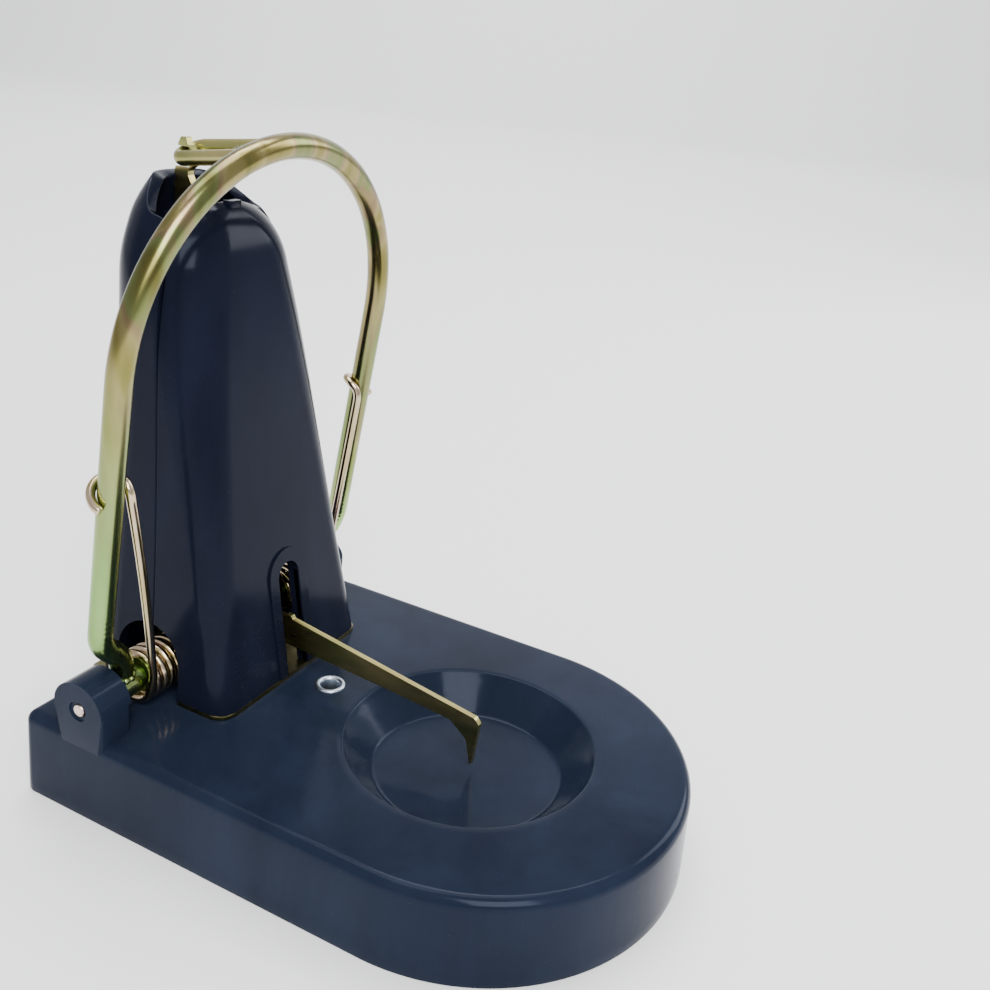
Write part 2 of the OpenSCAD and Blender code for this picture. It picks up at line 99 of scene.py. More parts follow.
def bm_new(verts, faces):
    """A bmesh from points and the point numbers of each face."""
    bm = bmesh.new()
    made = [bm.verts.new(v) for v in verts]
    for face in faces:
        bm.faces.new([made[i] for i in face])
    return bm


def turned(bm, angle, axis, centre):
    """Turns a bmesh about the origin and then moves it to centre."""
    bmesh.ops.rotate(bm, verts=bm.verts, cent=(0, 0, 0), matrix=Matrix.Rotation(angle, 3, axis))
    bmesh.ops.translate(bm, verts=bm.verts, vec=centre)
    return bm


def arc(centre, r, start, end, steps):
    """Points on a circle from one angle to another, in degrees, both ends included."""
    angles = (math.radians(start + (end - start) * k / steps) for k in range(steps + 1))
    return [(centre[0] + r * math.cos(a), centre[1] + r * math.sin(a)) for a in angles]


def flat(a, b, c):
    """Outline in XY, thickness along Z."""
    return (a, b, c)


def on_edge(a, b, c):
    """Outline in YZ, thickness along X."""
    return (c, a, b)


def facing(a, b, c):
    """Outline in XZ, thickness along Y."""
    return (a, c, b)


def grid_faces(rows, cols, close=False):
    """Quads of a grid of points stored row by row."""
    last = cols if close else cols - 1
    faces = []
    for i in range(rows - 1):
        for j in range(last):
            k = (j + 1) % cols
            a = i * cols
            b = a + cols
            faces.append((a + j, a + k, b + k, b + j))
    return faces


def tube(points, radius, sides, chamfer, start_side=(1, 0, 0)):
    """A wire along points. radius is a number, or a function of (length along, angle round)."""
    pts = [Vector(p) for p in points]
    n = len(pts)
    along = [0.0]
    for i in range(1, n):
        along.append(along[-1] + (pts[i] - pts[i - 1]).length)
    verts = []
    side = Vector(start_side)
    for i in range(n):
        t = (pts[min(i + 1, n - 1)] - pts[max(i - 1, 0)]).normalized()
        side = (side - t * side.dot(t)).normalized()
        other = t.cross(side)
        for k in range(sides):
            a = 2 * math.pi * k / sides
            r = radius(along[i], a) if callable(radius) else radius
            if i in (0, n - 1):
                r *= 1 - chamfer
            verts.append(pts[i] + (side * math.cos(a) + other * math.sin(a)) * r)
    faces = grid_faces(n, sides, True)
    faces.append(tuple(range(sides - 1, -1, -1)))
    faces.append(tuple((n - 1) * sides + k for k in range(sides)))
    return verts, faces


def with_ends(points, step):
    """Adds a point just inside each end, so that the chamfer of a tube stays short."""
    first, last = Vector(points[0]), Vector(points[-1])
    start, end = toward(first, points[1], step), toward(last, points[-2], step)
    return [first, start] + list(points[1:-1]) + [end, last]


def toward(a, b, distance):
    """The point at a distance from a on the way to b."""
    a, b = Vector(a), Vector(b)
    return a + (b - a).normalized() * distance


def curve(a, b, c, steps):
    """A quadratic curve from a to c, pulled towards b."""
    a, b, c = Vector(a), Vector(b), Vector(c)
    parts = (k / steps for k in range(steps + 1))
    return [a * (1 - t) ** 2 + b * 2 * t * (1 - t) + c * t ** 2 for t in parts]


def straight(a, b, step):
    """Points from a to b, about one step apart."""
    a, b = Vector(a), Vector(b)
    n = max(1, int((b - a).length / step))
    return [a + (b - a) * (k / n) for k in range(n + 1)]


def fillet(points, radii, steps=6):
    """Rounds the corners of a closed outline. A side gives up less than half its length to a corner."""
    out = []
    n = len(points)
    most = 0.48
    for i, p in enumerate(points):
        r = radii[i] if isinstance(radii, (list, tuple)) else radii
        p = Vector(p)
        a = Vector(points[i - 1])
        b = Vector(points[(i + 1) % n])
        da, db = (a - p), (b - p)
        la, lb = da.length, db.length
        da.normalize()
        db.normalize()
        half = math.acos(max(-1, min(1, da.dot(db)))) / 2
        reach = min(r / math.tan(half), la * most, lb * most)
        for k in range(steps + 1):
            t = k / steps
            out.append((p + da * reach) * (1 - t) ** 2 + p * 2 * t * (1 - t) + (p + db * reach) * t ** 2)
    return out


def prism(outline, low, high, place, bevel, segments=2):
    """A bevelled slab: a 2D outline from low to high along the third direction. place makes the 3D point."""
    bm = bmesh.new()
    bottom = [bm.verts.new(place(p[0], p[1], low)) for p in outline]
    top = [bm.verts.new(place(p[0], p[1], high)) for p in outline]
    n = len(outline)
    lower = bm.faces.new(list(reversed(bottom)))
    upper = bm.faces.new(top)
    for i in range(n):
        j = (i + 1) % n
        bm.faces.new((bottom[i], bottom[j], top[j], top[i]))
    if bevel > 0:
        edges = list(lower.edges) + list(upper.edges)
        bmesh.ops.bevel(
            bm, geom=edges, offset=bevel, segments=segments, profile=0.5, affect="EDGES", clamp_overlap=True
        )
    bmesh.ops.triangulate(bm, faces=[f for f in bm.faces if len(f.verts) > 4])
    return bm


def join(target, extra):
    """Copies one bmesh into another and frees it."""
    mesh = bpy.data.meshes.new("part")
    extra.to_mesh(mesh)
    extra.free()
    target.from_mesh(mesh)
    bpy.data.meshes.remove(mesh)


def carve(bm, cutters, shell=None, bevel=None):
    """Runs solidify, bevel and boolean modifiers on a bmesh and gives back the result."""
    mesh = bpy.data.meshes.new("carve")
    bm.to_mesh(mesh)
    bm.free()
    body = bpy.data.objects.new("carve", mesh)
    collection.objects.link(body)
    if shell:
        m = body.modifiers.new("shell", "SOLIDIFY")
        m.thickness = shell
        m.offset = -1
        m.use_even_offset = True
        m.use_rim = True
    if bevel:
        m = body.modifiers.new("bevel", "BEVEL")
        m.width = bevel
        m.segments = 3
        m.limit_method = "ANGLE"
        m.angle_limit = math.radians(55)
    tools = []
    for cutter in cutters:
        tool_mesh = bpy.data.meshes.new("tool")
        bmesh.ops.recalc_face_normals(cutter, faces=cutter.faces)
        cutter.to_mesh(tool_mesh)
        cutter.free()
        tool = bpy.data.objects.new("tool", tool_mesh)
        collection.objects.link(tool)
        tools.append(tool)
        m = body.modifiers.new("cut", "BOOLEAN")
        m.operation = "DIFFERENCE"
        m.solver = "EXACT"
        m.object = tool
    bpy.context.view_layer.update()
    done = body.evaluated_get(bpy.context.evaluated_depsgraph_get())
    result = bmesh.new()
    result.from_mesh(done.to_mesh())
    done.to_mesh_clear()
    for thing in [body] + tools:
        data = thing.data
        bpy.data.objects.remove(thing)
        bpy.data.meshes.remove(data)
    return result


def rod_x(x0, x1, y, z, r, sides=48):
    """A plain round cutter along X."""
    return prism(arc((y, z), r, 0, 360, sides)[:-1], x0, x1, on_edge, 0)


def lathe(profile, centre, sides, closed=True):
    """A bmesh of (radius, z) points turned about a vertical axis. An open profile gets flat ends."""
    verts = []
    for r, z in profile:
        for k in range(sides):
            a = 2 * math.pi * k / sides
            verts.append((centre[0] + r * math.cos(a), centre[1] + r * math.sin(a), z))
    faces = grid_faces(len(profile), sides, True)
    if closed:
        last = (len(profile) - 1) * sides
        for k in range(sides):
            faces.append((last + k, last + (k + 1) % sides, (k + 1) % sides, k))
    bm = bm_new(verts, faces)
    if not closed:
        bmesh.ops.holes_fill(bm, edges=bm.edges, sides=0)
    return bm


def smooth_table(table, z):
    """Catmull-Rom through (z, value) rows."""
    if z <= table[0][0]:
        return table[0][1]
    if z >= table[-1][0]:
        return table[-1][1]
    i = max(k for k in range(len(table) - 1) if table[k][0] <= z)
    z0, v0 = table[i]
    z1, v1 = table[i + 1]
    slope = []
    for k in (i, i + 1):
        a = table[max(k - 1, 0)]
        b = table[min(k + 1, len(table) - 1)]
        slope.append((b[1] - a[1]) / (b[0] - a[0]) * (z1 - z0))
    t = (z - z0) / (z1 - z0)
    return (
        (2 * t ** 3 - 3 * t ** 2 + 1) * v0
        + (t ** 3 - 2 * t ** 2 + t) * slope[0]
        + (3 * t ** 2 - 2 * t ** 3) * v1
        + (t ** 3 - t ** 2) * slope[1]
    )


def even(path, count):
    """Resamples a 2D polyline at equal steps."""
    length = [0.0]
    for a, b in zip(path, path[1:]):
        length.append(length[-1] + math.hypot(b[0] - a[0], b[1] - a[1]))
    total = length[-1]
    out = []
    j = 0
    for i in range(count):
        s = total * i / (count - 1)
        while j < len(path) - 2 and length[j + 1] < s:
            j += 1
        gap = length[j + 1] - length[j]
        t = 0 if gap < 1e-9 else (s - length[j]) / gap
        a, b = path[j], path[j + 1]
        out.append((a[0] + (b[0] - a[0]) * t, a[1] + (b[1] - a[1]) * t))
    return out


# ---------------------------------------------------------------- materials

class Look:
    """A material's node tree, with a method for each kind of node that the surfaces use."""

    def __init__(self, name):
        self.material = bpy.data.materials.new(name)
        self.material.use_nodes = True
        self.tree = self.material.node_tree
        self.shader = self.tree.nodes["Principled BSDF"]
        self.coord = self.add("ShaderNodeTexCoord").outputs["Object"]

    def add(self, kind, **inputs):
        """A node with values for its inputs: a number, a tuple, or another node's output to link."""
        node = self.tree.nodes.new(kind)
        for name, value in inputs.items():
            self.put(node.inputs[name.replace("_", " ")], value)
        return node

    def put(self, socket, value):
        if isinstance(value, bpy.types.NodeSocket):
            self.tree.links.new(value, socket)
        else:
            socket.default_value = value

    def noise(self, scale, detail, stretch=(1, 1, 1), roughness=0.5, distortion=0.0):
        mapping = self.add("ShaderNodeMapping", Scale=stretch, Vector=self.coord)
        node = self.add(
            "ShaderNodeTexNoise", Scale=scale, Detail=detail, Roughness=roughness, Distortion=distortion,
            Vector=mapping.outputs["Vector"]
        )
        return node.outputs["Fac"]

    def ramp(self, value, stops):
        """Colours at places from 0 to 1."""
        node = self.add("ShaderNodeValToRGB", Fac=value)
        bar = node.color_ramp
        while len(bar.elements) < len(stops):
            bar.elements.new(0.5)
        for element, (place, colour) in zip(bar.elements, stops):
            element.position = place
            element.color = (*colour, 1)
        return node.outputs["Color"]

    def remap(self, value, low, high, to_low, to_high):
        """Takes low..high to to_low..to_high."""
        node = self.add(
            "ShaderNodeMapRange", Value=value, From_Min=low, From_Max=high, To_Min=to_low, To_Max=to_high
        )
        return node.outputs["Result"]

    def math(self, operation, a, b):
        node = self.tree.nodes.new("ShaderNodeMath")
        node.operation = operation
        for socket, value in zip(node.inputs, (a, b)):
            self.put(socket, value)
        return node.outputs["Value"]

    def mix(self, factor, a, b, blend="MIX"):
        """Colour a, with the plain colour b over it."""
        node = self.tree.nodes.new("ShaderNodeMix")
        node.data_type = "RGBA"
        node.blend_type = blend
        self.put(node.inputs["Factor"], factor)
        self.put(node.inputs["A"], a)
        self.put(node.inputs["B"], (*b, 1))
        return node.outputs["Result"]

    def bump(self, height, strength, distance, under=None):
        node = self.add("ShaderNodeBump", Strength=strength, Distance=distance, Height=height)
        if under is not None:
            self.put(node.inputs["Normal"], under)
        self.put(self.shader.inputs["Normal"], node.outputs["Normal"])
        return node.outputs["Normal"]

    def scratches(self, turn, scale, width):
        """Thin straight marks in one direction: a stretched noise cut near its middle."""
        mapping = self.add("ShaderNodeMapping", Rotation=turn, Scale=(1, 14, 1), Vector=self.coord)
        node = self.add("ShaderNodeTexNoise", Scale=scale, Detail=2.0, Vector=mapping.outputs["Vector"])
        centred = self.math("ABSOLUTE", self.math("SUBTRACT", node.outputs["Fac"], 0.5), 0)
        return self.remap(centred, 0.0, width, 1.0, 0.0)


DUST = (0.05, 0.056, 0.07)
COOL = (0.72, 0.80, 1.0, 1)
WORN = (0.62, 0.56, 0.44)


def plastic(name, dark, light, rough, dust):
    """Glossy moulded plastic with faint flow marks, sink waves, scuffs and dust."""
    look = Look(name)
    flow = look.math("MULTIPLY", look.noise(22.0, 4.0), look.noise(60.0, 5.0, (1.0, 1.0, 0.25), 0.6, 0.6))
    colour = look.ramp(flow, [(0.12, dark), (0.42, light)])
    specks = look.remap(look.noise(1900.0, 1.0), 0.76, 0.80, 0.0, dust)
    look.put(look.shader.inputs["Base Color"], look.mix(specks, colour, DUST))
    one_way = look.scratches((0.3, 0.2, 0.5), 150.0, 0.010)
    other_way = look.scratches((1.2, 0.7, 2.1), 110.0, 0.008)
    marks = look.math("MAXIMUM", one_way, other_way)
    scuff = look.math("MULTIPLY", marks, look.remap(look.noise(38.0, 2.0), 0.52, 0.68, 0.0, 1.0))
    smudge = look.remap(look.noise(75.0, 6.0, (1, 1, 1), 0.65), 0.35, 0.75, rough, rough + 0.09)
    look.put(look.shader.inputs["Roughness"], look.math("ADD", smudge, look.math("MULTIPLY", scuff, 0.18)))
    look.shader.inputs["IOR"].default_value = 1.38
    look.shader.inputs["Specular IOR Level"].default_value = 0.12
    look.shader.inputs["Specular Tint"].default_value = COOL
    waves = look.bump(look.noise(16.0, 1.0), 0.12, 0.002)
    fine = look.math("ADD", look.noise(1500.0, 2.0), look.math("MULTIPLY", scuff, -1.5))
    look.bump(fine, 0.03, 0.0002, waves)
    return look.material


def passivated(name, stops, rough, streak, low_tint=None):
    """Zinc-plated steel with a yellow passivate: soft bands of colour, drawn streaks and duller spots."""
    look = Look(name)
    colour = look.ramp(look.noise(90.0, 2.0, streak, 0.45, 0.3), stops)
    if low_tint:
        split = look.add("ShaderNodeSeparateXYZ", Vector=look.coord)
        height = look.remap(split.outputs["Z"], 0.035, 0.100, 0.9, 0.0)
        patch = look.remap(look.noise(75.0, 2.0, streak), 0.25, 0.75, 0.2, 1.0)
        colour = look.mix(look.math("MULTIPLY", height, patch), colour, low_tint)
    dull = look.remap(look.noise(200.0, 1.0, streak, 0.4), 0.40, 0.80, 0.0, 0.30)
    look.put(look.shader.inputs["Base Color"], look.mix(dull, colour, WORN, "MULTIPLY"))
    look.shader.inputs["Metallic"].default_value = 1.0
    spots = look.remap(look.noise(240.0, 1.0, streak, 0.4), 0.3, 0.7, rough, rough + 0.06)
    look.put(look.shader.inputs["Roughness"], spots)
    look.bump(look.noise(260.0, 1.0, streak, 0.4), 0.006, 0.0001)
    return look.material


PINK, CREAM, GOLD = (0.23, 0.165, 0.09), (0.28, 0.235, 0.10), (0.21, 0.175, 0.055)
OLIVE, GREEN = (0.125, 0.115, 0.035), (0.17, 0.195, 0.07)
BAR_STOPS = [(0.30, OLIVE), (0.40, GOLD), (0.48, CREAM), (0.54, PINK), (0.60, GREEN), (0.72, OLIVE)]
WIRE_STOPS = [
    (0.30, (0.55, 0.37, 0.29)), (0.45, (0.58, 0.47, 0.31)),
    (0.58, (0.44, 0.35, 0.17)), (0.72, (0.58, 0.42, 0.33)),
]
STRIP_STOPS = [
    (0.32, (0.40, 0.33, 0.12)), (0.46, (0.50, 0.43, 0.18)),
    (0.58, (0.34, 0.34, 0.12)), (0.72, (0.45, 0.36, 0.14)),
]
PLATE_STOPS = [(0.35, (0.12, 0.11, 0.05)), (0.55, (0.19, 0.17, 0.07)), (0.70, (0.10, 0.11, 0.05))]
ROD_STOPS = [(0.35, (0.68, 0.50, 0.44)), (0.55, (0.72, 0.60, 0.52)), (0.70, (0.62, 0.55, 0.50))]
ZINC_STOPS = [(0.35, (0.55, 0.56, 0.58)), (0.55, (0.66, 0.66, 0.66)), (0.70, (0.50, 0.51, 0.54))]
EYELET_STOPS = [(0.35, (0.42, 0.48, 0.56)), (0.55, (0.56, 0.62, 0.70)), (0.70, (0.48, 0.53, 0.60))]

base_plastic = plastic("base_plastic", (0.007, 0.010, 0.020), (0.013, 0.019, 0.036), 0.10, 0.30)
tower_plastic = plastic("tower_plastic", (0.004, 0.005, 0.011), (0.008, 0.010, 0.021), 0.14, 0.22)
bar_steel = passivated("bar_steel", BAR_STOPS, 0.20, (1.6, 1.6, 0.25), (0.28, 0.56, 0.17))
wire_steel = passivated("wire_steel", WIRE_STOPS, 0.14, (2, 2, 0.5))
strip_steel = passivated("strip_steel", STRIP_STOPS, 0.27, (1.5, 0.4, 2))
plate_steel = passivated("plate_steel", PLATE_STOPS, 0.30, (2, 2, 2))
rod_steel = passivated("rod_steel", ROD_STOPS, 0.25, (0.5, 4, 4))
screw_steel = passivated("screw_steel", ZINC_STOPS, 0.28, (2, 2, 2))
eyelet_metal = passivated("eyelet_metal", EYELET_STOPS, 0.30, (2, 2, 2))
spacer_plastic = plastic("spacer_plastic", (0.02, 0.022, 0.025), (0.04, 0.042, 0.046), 0.45, 0.2)


# ---------------------------------------------------------------- base

CUP_Y = 2.7
CUP_R = 25.0
CUP_DEPTH = 7.0
CUP_FLOOR_R = 18.8
CUP_FLOOR_Z = BASE_H - CUP_DEPTH
CORNER_R = 3.0
EDGE_R = 2.2
DRAFT = 0.7
WALL = 2.4
HOLE_Y, HOLE_R = 36.4, 2.6
ROD_HOLE_R = 1.4
LUG_IN = 34.4
LUG_ROOT = BASE_H - 3.5
# Radius, place along Y, outer end and edge radius of the left (-1) and the right (1) lug
LUGS = {-1: (6.0, AXLE_Y, 41.8, 1.4), 1: (3.9, 65.5, 40.4, 0.5)}


def base_outline(inset, front=120, side=30, corner=10, rear=30):
    """Outline of the base set in by inset, always with the same number of points."""
    r = HALF_W - inset
    back = BACK - inset
    rc = max(CORNER_R - inset, 0.5)
    pts = arc((0, 0), r, 180, 360, front)[:-1]
    pts += [(r, (back - rc) * k / side) for k in range(side)]
    pts += arc((r - rc, back - rc), rc, 0, 90, corner)[:-1]
    pts += [((r - rc) * (1 - 2 * k / rear), back) for k in range(rear)]
    pts += arc((rc - r, back - rc), rc, 90, 180, corner)[:-1]
    pts += [(-r, (back - rc) * (1 - k / side)) for k in range(side)]
    return pts


def circle_like(outline, radius):
    """One point on the cup's circle for each point of the outline, in the same direction."""
    out = []
    for x, y in outline:
        a = math.atan2(y - CUP_Y, x)
        out.append((radius * math.cos(a), CUP_Y + radius * math.sin(a)))
    return out


def mixed(a, b, t):
    """The outline a part t of the way from a to b."""
    return [(p[0] + (q[0] - p[0]) * t, p[1] + (q[1] - p[1]) * t) for p, q in zip(a, b)]


def base_loops():
    """Closed rings of points, each at its height: up inside the wall, down its foot and out to the cup."""
    inner = base_outline(WALL)
    skin = circle_like(inner, CUP_R + WALL)
    loops = [
        (skin, CUP_FLOOR_Z - WALL), (skin, BASE_H - WALL), (inner, BASE_H - WALL), (inner, 0.3),
        (base_outline(WALL - 0.3), 0.0), (base_outline(0.35), 0.0), (base_outline(0.08), 0.12),
    ]
    foot = 0.45
    loops.append((base_outline(0.02), foot))
    rise = BASE_H - EDGE_R
    for k in range(1, 9):
        loops.append((base_outline(DRAFT * k / 8), foot + (rise - foot) * k / 8))
    for k in range(1, 11):
        a = QUARTER * k / 10
        loops.append((base_outline(DRAFT + EDGE_R * (1 - math.cos(a))), rise + EDGE_R * math.sin(a)))
    top = base_outline(DRAFT + EDGE_R + 1.0)
    rim = circle_like(top, CUP_R + 1.6)
    for t in (0, 0.25, 0.5, 0.75, 1):
        loops.append((mixed(top, rim, t), BASE_H))
    cup = [
        (CUP_R + 0.45, 0.0), (CUP_R + 0.22, -0.05), (CUP_R + 0.04, -0.18), (CUP_R - 0.12, -0.42),
        (CUP_R - 0.9, -1.2),
        (CUP_R - 2.6, -3.1), (CUP_R - 4.4, -5.1), (CUP_FLOOR_R + 0.55, -6.45), (CUP_FLOOR_R + 0.25, -6.78),
        (CUP_FLOOR_R - 0.15, -6.95), (CUP_FLOOR_R - 0.7, -CUP_DEPTH),
        (12.0, -CUP_DEPTH), (5.0, -CUP_DEPTH), (0.8, -CUP_DEPTH),
    ]
    return loops + [(circle_like(top, r), BASE_H + z) for r, z in cup]


def build_base():
    loops = base_loops()
    n = len(loops[0][0])
    last = (len(loops) - 1) * n
    verts = [(x, y, z) for loop, z in loops for x, y in loop]
    faces = grid_faces(len(loops), n, True)
    faces.append(tuple(range(n - 1, -1, -1)))
    faces.append(tuple(last + k for k in range(n)))
    hole = prism(arc((0, HOLE_Y), HOLE_R, 0, 360, 48)[:-1], BASE_H - 10, BASE_H + 2, flat, 0)
    bm = carve(bm_new(verts, faces), [hole])
    for side in (-1, 1):
        join(bm, build_lug(side))
        for x0, x1, y0, y1, top in rib_boxes(side):
            join(bm, prism([(x0, y0), (x1, y0), (x1, y1), (x0, y1)], 0.02, top, flat, 0.15, 1))
    return finish_mesh("base_moulding", bm, base_plastic, "frame", ["base"], 32)


def rib_boxes(side):
    """Ribs under one half of the deck: (x0, x1, y0, y1, top)."""
    deck = BASE_H - WALL + 0.1
    under_cup = CUP_FLOOR_Z - WALL + 0.1
    inner = HALF_W - WALL + 0.2
    boxes = []
    for y, split in ((0, 27.0), (30, 2.5), (61, 0.0)):
        if split:
            boxes.append((0 if side > 0 else -split, split if side > 0 else 0, y - 1, y + 1, under_cup))
        a, b = sorted((side * split, side * (inner if y else inner - 0.05)))
        boxes.append((a, b, y - 1, y + 1, deck))
    a, b = sorted((side * 20, side * 22))
    boxes.append((a, b, -34.2, -14.2, deck))
    boxes.append((a, b, -14.4, 19.8, under_cup))
    boxes.append((a, b, 19.6, BACK - WALL + 0.2, deck))
    return boxes


def build_lug(side):
    """Round-topped block on the deck with a countersunk hole for the rod. The right one is slim."""
    r, y, out, edge = LUGS[side]
    outline = [(y - r, LUG_ROOT)] + arc((y, AXLE_Z), r, 180, 0, 24) + [(y + r, LUG_ROOT)]
    x0, x1 = sorted((side * LUG_IN, side * out))
    block = prism(outline, x0, x1, on_edge, edge, 5)
    sink = lathe([(0.01, -2), (2.35, -2), (2.05, 0.45), (1.8, 0.6), (0.01, 0.6)], (0, 0), 40, False)
    turned(sink, -side * QUARTER, "Y", (side * out, AXLE_Y, AXLE_Z))
    bore = rod_x(min(0, side * 60), max(0, side * 60), AXLE_Y, AXLE_Z, ROD_HOLE_R)
    return carve(block, [bore, sink])


build_base()


# ---------------------------------------------------------------- tower

SEAM = 0.1
FACE_SLOPE = 0.15
FOOT_FRONT = front_low.y + 0.5
DECK_Z = 112.0
WIDTH_FRONT = [(FOOT_Z, 23.5), (30, 22.35), (45, 21.1), (65, 19.9), (80, 19.2), (92, 18.5), (102, 17.3)]
CORNER_FRONT = [(FOOT_Z, 4.2), (30, 4.6), (50, 6.0), (75, 8.3), (92, 10.2), (102, 11.0)]
WIDTH_REAR = [
    (FOOT_Z, 23.5), (30, 22.35), (45, 21.1), (65, 19.95), (80, 19.4), (96, 19.0), (104, 18.0), (111, 15.0),
    (115, 12.2), (LIP_Z, 9.6),
]
CORNER_REAR = [(FOOT_Z, 6.0), (50, 8.4), (75, 10.6), (96, 12.0), (104, 11.6), (111, 10.8), (LIP_Z, 8.6)]
BACK_REAR = [
    (FOOT_Z, TOWER_BACK), (98, TOWER_BACK), (108, TOWER_BACK - 0.1), (113, TOWER_BACK - 0.6),
    (LIP_Z, TOWER_BACK - 2.2),
]
COLUMNS = 161
FRONT_ROWS = 44
DOME_ROWS = 22
REAR_ROWS = 54
# The front shell's dome: where it starts, its height, and how far sides, corners and face draw in
DOME_Z = 102.0
DOME_RISE = 11.9
DOME_SIDE = 10.5
DOME_CORNER = 4.0
DOME_TAPER = 0.12
DOME_FRONT = AXLE_Y - SEAM - (FOOT_FRONT + FACE_SLOPE * (DOME_Z + DOME_RISE - FOOT_Z))
SLOT_HALF, SLOT_TOP = 3.3, 43.5
BAND_HALF, BAND_TOP = 5.9, 46.4
WINDOW_Y, WINDOW_Z, WINDOW_R = 65, 25.5, 8.0
TAB = [(-1.6, 61.6), (1.9, 61.9), (1.9, 63.7), (-1.6, 63.7)]
TAB_LOW = 112.9
# The rear shell's lip: its slope, its dip at the seam, and how the top draws in near the seam
LIP_START, LIP_RUN = 68.2, 8.0
DIP, DIP_START, DIP_RUN = 3.0, 69.0, 4.9
PINCH, PINCH_Z, PINCH_RISE = 0.17, 92.0, 16.0
PINCH_START, PINCH_RUN = 71.0, 6.9
DECK = [(10.0, 64.12), (11.6, 67.4), (10.2, 70.2), (7.6, 69.0), (3.4, 68.0), (2.2, 67.6), (2.0, 65.4)]
SCREW_X, SCREW_Z = 8, 66
BOSS = [(3.0, 0), (4.2, 0), (4.2, 13.5), (3.0, 13.5), (3.0, 9.9), (1.7, 9.9), (1.7, 5.5), (3.0, 5.5)]


def unit(value):
    """Keeps a number between 0 and 1."""
    return max(0.0, min(1.0, value))


def face_y(z):
    """Where the leaning face of the front shell lies at a height."""
    return FOOT_FRONT + FACE_SLOPE * (z - FOOT_Z)


def front_half(w, f, r):
    """Half outline of the front shell from the middle of the face to the seam."""
    end = AXLE_Y - SEAM
    f = min(f, end - 0.001)
    r = min(r, w - 0.3)
    path = [(0, f), (w - r, f)]
    stop = QUARTER
    if f + r > end:
        stop = math.acos(max(-1, min(1, (f + r - end) / r)))
    for k in range(1, 25):
        a = stop * k / 24
        path.append((w - r + r * math.sin(a), f + r - r * math.cos(a)))
    if f + r < end:
        path.append((w, end))
    return even(path, (COLUMNS + 1) // 2)


def rear_half(w, r, back):
    """Half outline of the rear shell from the seam to the middle of the back."""
    start = AXLE_Y + SEAM
    centre = back - r
    path = []
    begin = 0.0
    if centre < start:
        begin = math.asin((start - centre) / r)
    else:
        path.append((w, start))
    for k in range(25):
        a = begin + (QUARTER - begin) * k / 24
        path.append((w - r + r * math.cos(a), centre + r * math.sin(a)))
    path.append((0, back))
    return even(path, (COLUMNS + 1) // 2)


def whole(half):
    """Mirrors a half outline that starts in the middle plane."""
    return [(-x, y) for x, y in reversed(half[1:])] + half


def slot_outline(half, top, bottom, steps=16):
    """A slot with a round top."""
    return [(-half, bottom)] + arc((0, top - half), half, 180, 0, steps) + [(half, bottom)]


def window_cutter(side):
    """Cuts the round-topped window that a spring comes out of."""
    foot = FOOT_Z - 3
    outline = [(WINDOW_Y - WINDOW_R, foot)]
    outline += arc((WINDOW_Y, WINDOW_Z), WINDOW_R, 180, 0, 24)
    outline.append((WINDOW_Y + WINDOW_R, foot))
    x0, x1 = sorted((side * 12, side * 40))
    return prism(outline, x0, x1, on_edge, 0)


def front_levels():
    """Half outlines of the front shell with their heights: the tapering part, then the dome."""
    levels = []
    for k in range(FRONT_ROWS + 1):
        z = FOOT_Z + (DOME_Z - FOOT_Z) * k / FRONT_ROWS
        levels.append((front_half(smooth_table(WIDTH_FRONT, z), face_y(z), smooth_table(CORNER_FRONT, z)), z))
    top_width, top_corner = smooth_table(WIDTH_FRONT, DOME_Z), smooth_table(CORNER_FRONT, DOME_Z)
    for k in range(1, DOME_ROWS + 1):
        a = QUARTER * k / DOME_ROWS
        pull = 1 - math.cos(a)
        z = DOME_Z + DOME_RISE * math.sin(a)
        width = top_width - DOME_TAPER * (z - DOME_Z) - DOME_SIDE * pull
        levels.append((front_half(width, face_y(z) + DOME_FRONT * pull, top_corner - DOME_CORNER * pull), z))
    return levels


def build_tower_front():
    levels = front_levels()
    verts = [(x, y, z) for half, z in levels for x, y in whole(half)]
    bm = bm_new(verts, grid_faces(len(levels), COLUMNS))
    bmesh.ops.remove_doubles(bm, verts=bm.verts, dist=0.01)
    bmesh.ops.recalc_face_normals(bm, faces=bm.faces)
    middle = max(bm.faces, key=lambda f: -f.calc_center_median().y)
    if middle.normal.y > 0:
        bmesh.ops.reverse_faces(bm, faces=bm.faces)
    slot = prism(slot_outline(SLOT_HALF, SLOT_TOP, FOOT_Z - 4), 30, 58, facing, 0)
    bm = carve(bm, [slot, window_cutter(-1), window_cutter(1)], WALL, 0.25)
    join(bm, build_band())
    join(bm, prism(fillet(TAB, 0.4, 3), TAB_LOW, DOME_Z + DOME_RISE + 0.35, flat, 0.12, 2))
    return finish_mesh("tower_front_shell", bm, tower_plastic, "frame", ["tower_front"], 34)


def build_band():
    """Raised collar round the trigger slot, lying on the leaning face."""
    outer = slot_outline(BAND_HALF, BAND_TOP, FOOT_Z + 0.02, 28)
    inner = slot_outline(SLOT_HALF, SLOT_TOP, FOOT_Z + 0.02, 28)
    outline = outer + list(reversed(inner))
    return prism(outline, -0.48, 1.2, lambda a, b, c: (a, face_y(b) + c, b), 0.3, 3)


def lip_height(y):
    """The lip's edge climbs in a long slope from the deck and drops a little towards the seam."""
    t = unit((y - LIP_START) / LIP_RUN)
    dip = unit((DIP_START - y) / DIP_RUN)
    return DECK_Z + (LIP_Z - DECK_Z) * t * t * (3 - 2 * t) - DIP * dip * dip


